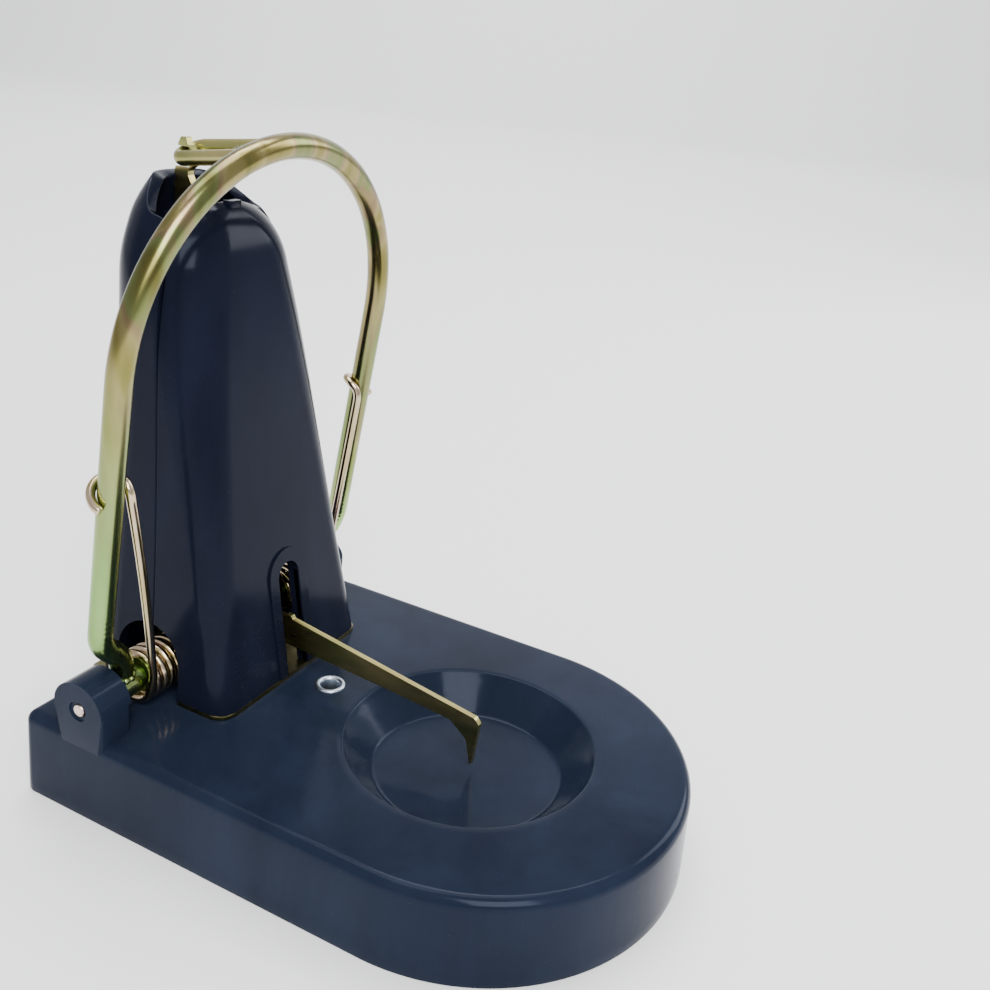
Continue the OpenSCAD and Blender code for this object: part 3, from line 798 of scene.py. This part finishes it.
def rear_at(z):
    """Half outline of the rear shell at a height, drawn in near the seam at the top."""
    half = rear_half(smooth_table(WIDTH_REAR, z), smooth_table(CORNER_REAR, z), smooth_table(BACK_REAR, z))
    pinch = PINCH * unit((z - PINCH_Z) / PINCH_RISE) ** 2
    return [(x * (1 - pinch * unit((PINCH_START - y) / PINCH_RUN) ** 1.5), y) for x, y in half]


def rear_rows():
    """Rows of points of the rear shell, from the foot up to the lip's sloping edge."""
    tops = []
    for j in range((COLUMNS + 1) // 2):
        z = LIP_Z
        for _ in range(14):
            z = 0.5 * (z + lip_height(rear_at(z)[j][1]))
        tops.append(z)
    rows = []
    for i in range(REAR_ROWS + 1):
        row = []
        for j, top in enumerate(tops):
            z = FOOT_Z + (top - FOOT_Z) * i / REAR_ROWS
            x, y = rear_at(z)[j]
            row.append((x, y, z))
        rows.append(row + [(-x, y, z) for x, y, z in reversed(row[:-1])])
    return rows


def build_tower_rear():
    rows = rear_rows()
    bm = bm_new([v for row in rows for v in row], grid_faces(len(rows), len(rows[0])))
    bmesh.ops.recalc_face_normals(bm, faces=bm.faces)
    back = max(bm.faces, key=lambda f: f.calc_center_median().y)
    if back.normal.y < 0:
        bmesh.ops.reverse_faces(bm, faces=bm.faces)
    places = (-SCREW_X, SCREW_X)
    bores = [prism(arc((x, SCREW_Z), 3.0, 0, 360, 40)[:-1], 76, 84, facing, 0) for x in places]
    bm = carve(bm, [window_cutter(-1), window_cutter(1)] + bores, WALL, 0.3)
    deck = DECK + [(-x, y) for x, y in reversed(DECK)]
    join(bm, prism(fillet(deck, 0.9, 4), DECK_Z - 2.6, DECK_Z - 0.05, flat, 0.35, 3))
    for x in places:
        join(bm, turned(lathe(BOSS, (0, 0), 40), -QUARTER, "X", (x, 64.2, SCREW_Z)))
    return finish_mesh("tower_rear_shell", bm, tower_plastic, "frame", ["tower_rear"], 34)


build_tower_front()
build_tower_rear()


# ---------------------------------------------------------------- kill bar and springs

BAR_R = 2.3
WIRE_R = 0.85
ARCH_R = 37.4
ARCH_V = 102.66 - ARCH_R
FOOT_X = 31.3
FOOT_V = 7.0
KINK_V = 13.0
BEND = 2.8


def leaned(p):
    """From the bar's own frame (across, behind, up from the axle) to the row frame."""
    x, n, v = p
    c, s = math.cos(BAR_LEAN), math.sin(BAR_LEAN)
    return (x, AXLE_Y + n * c - v * s, AXLE_Z + n * s + v * c)


def bar_leg():
    """Middle line of one leg: up from the sleeve, out at the kink and up to the arch."""
    foot, low = (FOOT_X, 0, 3.25), (FOOT_X, 0, FOOT_V)
    knee, top = (ARCH_R, 0, KINK_V), (ARCH_R, 0, ARCH_V)
    pts = straight(foot, toward(low, foot, BEND), 0.3)
    pts += curve(toward(low, foot, BEND), low, toward(low, knee, BEND), 12)[1:]
    pts += straight(toward(low, knee, BEND), toward(knee, low, BEND), 0.3)[1:]
    pts += curve(toward(knee, low, BEND), knee, toward(knee, top, BEND), 12)[1:]
    pts += straight(toward(knee, top, BEND), toward(knee, top, 12.0), 0.3)[1:]
    pts += straight(toward(knee, top, 12.0), top, 2.0)[1:-1]
    return pts


def build_bar():
    leg = bar_leg()
    arch = [Vector((x, 0, v)) for x, v in arc((0, ARCH_V), ARCH_R, 0, 180, 90)]
    path = leg + arch + [Vector((-p.x, p.y, p.z)) for p in reversed(leg)]
    total = sum((b - a).length for a, b in zip(path, path[1:]))

    def radius(s, a):
        """Drawn bar, with the ribbed marks of the bending tool on both legs."""
        near = min(s, total - s)
        grip = unit((near - 7.5) / 1.5) * unit((19.5 - near) / 2.0)
        teeth = 0.5 - 0.5 * math.cos(2 * math.pi * near / 1.15)
        facing_side = max(0.0, -math.cos(a + 0.4))
        waver = noise.noise(Vector((s * 0.15, math.cos(a), math.sin(a))))
        return BAR_R - 0.14 * grip * teeth * facing_side - 0.02 * waver

    verts, faces = tube([leaned(p) for p in with_ends(path, 0.35)], radius, 28, 0.16, (0, 1, 0))
    bm = bm_new(verts, faces)
    return finish_mesh("kill_bar_rod", bm, bar_steel, "kill_bar", ["kill_bar"], 50)


def hook_at(v, a, side):
    """A point of the hook that goes round the bar's leg at the height v."""
    r = BAR_R + WIRE_R + 0.1
    return (side * (ARCH_R - r * math.cos(a)), r * math.sin(a), v + 2 * math.cos(a - math.pi / 4))


def build_spring(side, hook, name):
    """Coil round the sleeve, a leg up along the bar and a hook round it."""
    pitch, turns, radius, steps = 1.9, 6, 4.65, 48
    coil_out = 27.8
    coil_in = coil_out - pitch * turns

    def coil(t):
        a = math.pi - 2 * math.pi * t
        return (side * (coil_in + pitch * t), radius * math.cos(a), radius * math.sin(a))

    foot = coil(turns)
    corner = hook_at(hook, math.radians(-30), side)
    short = toward(corner, foot, 2.6)
    path = [coil(k / steps) for k in range(turns * steps - 4)]
    lead = coil(turns - 4 / steps)
    bow = Vector(foot) + Vector((0, -0.25, 3.0))
    path += curve(lead, foot, bow, 8)[:-1]
    mid = (Vector(bow) + Vector(short)) / 2 + Vector((-side * 0.5, -0.5, 0))
    path += curve(bow, mid, short, 20)[:-1]
    path += curve(short, corner, hook_at(hook, 0, side), 10)[:-1]
    path += [hook_at(hook, math.radians(a), side) for a in range(0, 199, 6)]
    verts, faces = tube([leaned(p) for p in with_ends(path, 0.25)], WIRE_R, 16, 0.2)
    return finish_mesh(name + "_wire", bm_new(verts, faces), wire_steel, "kill_bar", [name], 50)


SLEEVE = [
    (1.42, 12.2), (2.7, 12.2), (3.0, 12.5), (3.0, 20.0), (3.0, 27.0), (3.0, 33.8), (2.75, 34.1), (1.42, 34.1),
]


def build_sleeve(side, name):
    bm = turned(lathe(SLEEVE, (0, 0), 48), side * QUARTER, "Y", (0, AXLE_Y, AXLE_Z))
    return finish_mesh(name + "_tube", bm, bar_steel, "kill_bar", [name], 40)


def lump(bm, centre, size, seed):
    """An uneven weld bead."""
    for v in bmesh.ops.create_icosphere(bm, subdivisions=3, radius=1.0)["verts"]:
        d = v.co.normalized()
        coarse = noise.noise(d * 1.7 + Vector((seed, 0, 0)))
        fine = noise.noise(d * 5 + Vector((0, seed, 0)))
        k = 1 + 0.14 * coarse + 0.05 * fine
        v.co = Vector([c + way * half * k for c, way, half in zip(centre, d, size)])


def build_pivot_weld(side, name):
    """A ring of beads where the bar's foot meets the sleeve."""
    bm = bmesh.new()
    for i in range(10):
        a = 2 * math.pi * i / 10
        p = leaned((side * FOOT_X + 2.05 * math.cos(a), 2.05 * math.sin(a), 3.0 - 0.35 * math.sin(a) ** 2))
        lump(bm, p, (0.85, 0.85, 0.75), i + side * 3)
    return finish_mesh(name + "_bead", bm, bar_steel, "kill_bar", [name], 60)


build_bar()
for SIDE, WORD, HOOK in ((-1, "left", 45.0), (1, "right", 47.0)):
    build_spring(SIDE, HOOK, "spring_" + WORD)
    build_sleeve(SIDE, "sleeve_" + WORD)
    build_pivot_weld(SIDE, "pivot_weld_" + WORD)


# ---------------------------------------------------------------- catch loop

LOOP_R = 1.4
LOOP_Y, LOOP_Z = 71.4, 121.6
LOOP_BEND = 2.6
LOOP_SAG = 0.55
LOOP_ROLL = 0.9
LOOP_FEET = {1: Vector((4.8, 51.6, 124.85)), -1: Vector((-4.8, 52.3, 123.4))}
WEB_REACH = 0.52


def loop_bend(a):
    """A point of the loop's round end, which sags and is rolled a little to one side."""
    c, s = math.cos(a), math.sin(a)
    return Vector((LOOP_BEND * c, LOOP_Y + LOOP_BEND * s, LOOP_Z - LOOP_SAG * s + LOOP_ROLL * c))


def build_loop():
    bend = [loop_bend(math.radians(k)) for k in range(-4, 185, 8)]
    path = straight(LOOP_FEET[1], bend[0], 1.0)[:-1] + bend + straight(bend[-1], LOOP_FEET[-1], 1.0)[1:]

    def radius(s, a):
        """Slightly flattened round wire."""
        return LOOP_R * (1 + 0.05 * math.cos(2 * a) + 0.02 * math.cos(4 * a))

    bm = bm_new(*tube(with_ends(path, 0.2), radius, 20, 0.1, (0, 0, 1)))
    return finish_mesh("catch_loop_wire", bm, strip_steel, "kill_bar", ["catch_loop"], 50)


def build_loop_weld(side, name):
    """Bead round the end of one leg, with a lumpy web filling the space beside the leg."""
    bm = bmesh.new()
    foot = LOOP_FEET[side]
    start = Vector((side * LOOP_BEND, LOOP_Y, LOOP_Z + side * LOOP_ROLL))
    for i in range(7):
        a = math.pi * i / 6
        rim = foot + Vector((1.4 * math.cos(a), -0.1, 1.2 * math.sin(a)))
        lump(bm, rim, (0.8, 0.9, 0.75), i * 1.7 + side)
    for i in range(22):
        along = foot + (start - foot) * (WEB_REACH * i / 21)
        wander = 0.35 * noise.noise(Vector((i * 0.9, side * 3.0, 0.5)))
        inner = abs(along.x) - 1.0
        centre = (side * (inner * 0.5 + wander), along.y, (along.z + LOOP_Z + 1.6) / 2 + wander)
        lump(bm, centre, (inner * 0.6, 0.95, 0.8), 4.2 + side + i)
    if side < 0:
        for i in range(6):
            rise = i / 5
            heel = foot + Vector((0.5 * math.sin(i * 2.0), -0.6 - 0.8 * rise, 1.2 + 1.6 * rise))
            lump(bm, heel, (1.5, 1.0, 0.8), 9.0 + i)
    return finish_mesh(name + "_bead", bm, bar_steel, "kill_bar", [name], 60)


build_loop()
build_loop_weld(-1, "catch_weld_left")
build_loop_weld(1, "catch_weld_right")


# ---------------------------------------------------------------- stampings

def stamping(name, outline, body, nodes, pivot, bore, radii, thick, bevel):
    """A flat stamping that stands in the middle plane, with a hole at its pivot."""
    bm = prism(fillet(outline, radii, 5), -thick / 2, thick / 2, on_edge, bevel, 2)
    bm = carve(bm, [rod_x(-3, 3, pivot[0], pivot[1], bore)])
    return finish_mesh(name, bm, strip_steel, body, nodes, 30)


# Outlines as (along Y, height), with a radius for each corner
TRIGGER = [
    (60.4, 32.9), (47.8, 30.95), (47.6, 31.5), (46.4, 31.35), (46.2, 30.7), (1.75, 23.85), (0.72, 22.6),
    (1.62, 13.05), (2.05, 13.0), (3.3, 18.4), (7.2, 21.5), (22.1, 22.8), (39.7, 23.9), (57.2, 25.1),
    (59.4, 21.4), (64.0, 19.4), (68.6, 22.0), (68.4, 27.5), (66.2, 45.0), (66.2, 102.4), (63.2, 102.4),
    (63.2, 45.0), (61.4, 33.4),
]
TRIGGER_R = [1, 0.3, 0.15, 0.15, 0.3, 1.3, 0.9, 0.12, 0.12, 1.5, 2.2, 3, 3, 3, 3, 3, 3, 3, 3, 0.3, 0.3, 3, 1]
TRIGGER_THICK = 1.15
SEAR = [
    (72.9, 124.2), (74.1, 124.2), (74.9, 122.8), (74.7, 122.5), (72.2, 122.5), (72.2, 118.8), (75.6, 118.8),
    (75.9, 117.5), (76.0, 105.0), (73.8, 102.8), (70.0, 102.8), (66.0, 102.8), (66.0, 105.4), (67.6, 109.6),
    (68.3, 112.4), (69.4, 113.9), (70.8, 114.9), (72.0, 116.2), (72.6, 117.5), (72.5, 118.4), (70.9, 119.5),
    (70.8, 121.4), (72.5, 122.9),
]
SEAR_R = [0.3, 0.4, 0.2, 0.15, 0.3, 0.3, 0.4, 1, 2, 2, 1, 0.4, 1, 3, 3, 3, 3, 3, 1, 1, 1, 1, 1]
SEAR_THICK = 1.6
SEAR_PIVOT = (73.0, 106.0)
AXLE = (AXLE_Y, AXLE_Z)

stamping("trigger_strip", TRIGGER, "trigger", ["trigger"], AXLE, 1.42, TRIGGER_R, TRIGGER_THICK, 0.2)
stamping("sear_strip", SEAR, "sear", ["sear"], SEAR_PIVOT, 1.32, SEAR_R, SEAR_THICK, 0.25)


# ---------------------------------------------------------------- small parts

PLATE_NOTCH = 12.6
PLATE_INSET = 0.16
NOTCH_FRONT, NOTCH_BACK = 57.0, 73.0


def build_eyelet():
    """A rolled ring with a short tube down into the deck."""
    y, r = (eyelet_low.y + eyelet_high.y) / 2, (eyelet_high.x - eyelet_low.x) / 2
    profile = [
        (2.0, BASE_H - 2.9), (2.6, BASE_H - 2.9), (2.6, BASE_H), (r, BASE_H), (r, BASE_H + 0.18),
        (r - 0.14, BASE_H + 0.36), (r - 0.4, BASE_H + 0.48), (r - 0.75, BASE_H + 0.46),
        (r - 1.02, BASE_H + 0.3), (2.03, BASE_H - 0.1),
    ]
    bm = lathe(profile, (0, y), 56)
    return finish_mesh("eyelet_ring", bm, eyelet_metal, "frame", ["eyelet"], 50)


def build_foot_plate():
    """The sheet under the tower, notched on both sides for the springs."""
    reach, front, back = plate_high.x - PLATE_INSET, plate_low.y + PLATE_INSET, plate_high.y
    right = [
        (reach, front), (reach, NOTCH_FRONT), (PLATE_NOTCH, NOTCH_FRONT),
        (PLATE_NOTCH, NOTCH_BACK), (reach, NOTCH_BACK), (reach, back),
    ]
    outline = right + [(-x, y) for x, y in reversed(right)]
    radii = [4.5, 0.4, 0.4, 0.4, 0.4, 0.5, 0.5, 0.4, 0.4, 0.4, 0.4, 4.5]
    bm = prism(fillet(outline, radii, 8), BASE_H + 0.005, FOOT_Z - 0.005, flat, 0.12, 2)
    return finish_mesh("foot_plate_sheet", bm, plate_steel, "frame", ["foot_plate"], 30)


def build_rod():
    """The through rod with slightly dished, chamfered ends."""
    r, half = ROD_R, rod_high.x
    end = [(r, half - 0.25), (r - 0.2, half), (0.9, half - 0.1), (0.05, half - 0.12)]
    profile = [(x, -z) for x, z in reversed(end)] + end
    bm = turned(lathe(profile, (0, 0), 40, False), QUARTER, "Y", (0, AXLE_Y, AXLE_Z))
    return finish_mesh("axle_rod_bar", bm, rod_steel, "frame", ["axle_rod"], 50)


build_eyelet()
build_foot_plate()
build_rod()

KEPT = {
    "foot_screws": screw_steel, "shell_screws": screw_steel, "sear_pin": screw_steel,
    "spacer_left": spacer_plastic, "spacer_right": spacer_plastic,
    "spring_tail_left": wire_steel, "spring_tail_right": wire_steel,
}
for node, material in KEPT.items():
    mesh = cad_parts[node].data
    mesh.materials.clear()
    mesh.materials.append(material)


# ---------------------------------------------------------------- floor, light and camera

AZIMUTH, ELEVATION, ROLL = (math.radians(a) for a in (-65.18, 22.86, 6.1))
CAMERA_AT = (-0.1564, -0.0695, 0.1440)
CENTRE = (0.0, 0.03, 0.05)


def build_floor():
    """A pale floor that turns up into a wall on the far side of the trap."""
    look = Look("floor")
    look.shader.inputs["Base Color"].default_value = (0.97, 0.97, 0.97, 1)
    look.shader.inputs["Roughness"].default_value = 0.7
    reach, depth, height, bend = 6.0, 3.0, 2.6, 0.6
    profile = [(-reach, 0.0)] + arc((depth - bend, bend), bend, -90, 0, 16) + [(depth, height)]
    away = Vector((-math.sin(AZIMUTH), math.cos(AZIMUTH), 0))
    across = Vector((math.cos(AZIMUTH), math.sin(AZIMUTH), 0))
    verts = [away * d + across * s + Vector((0, 0, z)) for d, z in profile for s in (-reach, reach)]
    mesh = bpy.data.meshes.new("floor")
    mesh.from_pydata(verts, [], grid_faces(len(profile), 2))
    mesh.materials.append(look.material)
    for poly in mesh.polygons:
        poly.use_smooth = True
    plane = bpy.data.objects.new("floor", mesh)
    collection.objects.link(plane)


def build_world():
    world = bpy.data.worlds.new("studio")
    bpy.context.scene.world = world
    world.use_nodes = True
    background = world.node_tree.nodes["Background"]
    background.inputs["Color"].default_value = (0.93, 0.95, 1.0, 1)
    background.inputs["Strength"].default_value = 0.78


def area_light(name, place, target, size, power):
    data = bpy.data.lights.new(name, "AREA")
    data.shape = "RECTANGLE"
    data.size, data.size_y = size
    data.energy = power
    light = bpy.data.objects.new(name, data)
    collection.objects.link(light)
    light.location = place
    light.rotation_euler = (Vector(target) - Vector(place)).to_track_quat("-Z", "Y").to_euler()


def build_camera():
    """Looks along the azimuth and elevation above, with a small roll."""
    level = Vector((math.cos(AZIMUTH), math.sin(AZIMUTH), 0))
    away = Vector((-math.sin(AZIMUTH), math.cos(AZIMUTH), 0))
    ahead = away * math.cos(ELEVATION) - Vector((0, 0, math.sin(ELEVATION)))
    upright = level.cross(ahead)
    right = level * math.cos(ROLL) + upright * math.sin(ROLL)
    up = -level * math.sin(ROLL) + upright * math.cos(ROLL)
    data = bpy.data.cameras.new("camera")
    data.sensor_width = 36
    data.lens = 37.89
    data.clip_start = 0.01
    camera = bpy.data.objects.new("camera", data)
    collection.objects.link(camera)
    rows = [(right[i], up[i], -ahead[i], CAMERA_AT[i]) for i in range(3)]
    camera.matrix_world = Matrix(rows + [(0, 0, 0, 1)])
    bpy.context.scene.camera = camera


build_floor()
build_world()
area_light("key", (-0.55, -0.5, 0.75), CENTRE, (0.5, 0.7), 14)
area_light("fill", (0.65, -0.35, 0.5), CENTRE, (0.3, 0.5), 3)
area_light("top", (0.1, 0.2, 0.95), CENTRE, (0.7, 0.5), 5)
area_light("backdrop", (1.0, 0.46, 1.9), (2.5, 1.16, 0.3), (1.4, 1.4), 55)
build_camera()
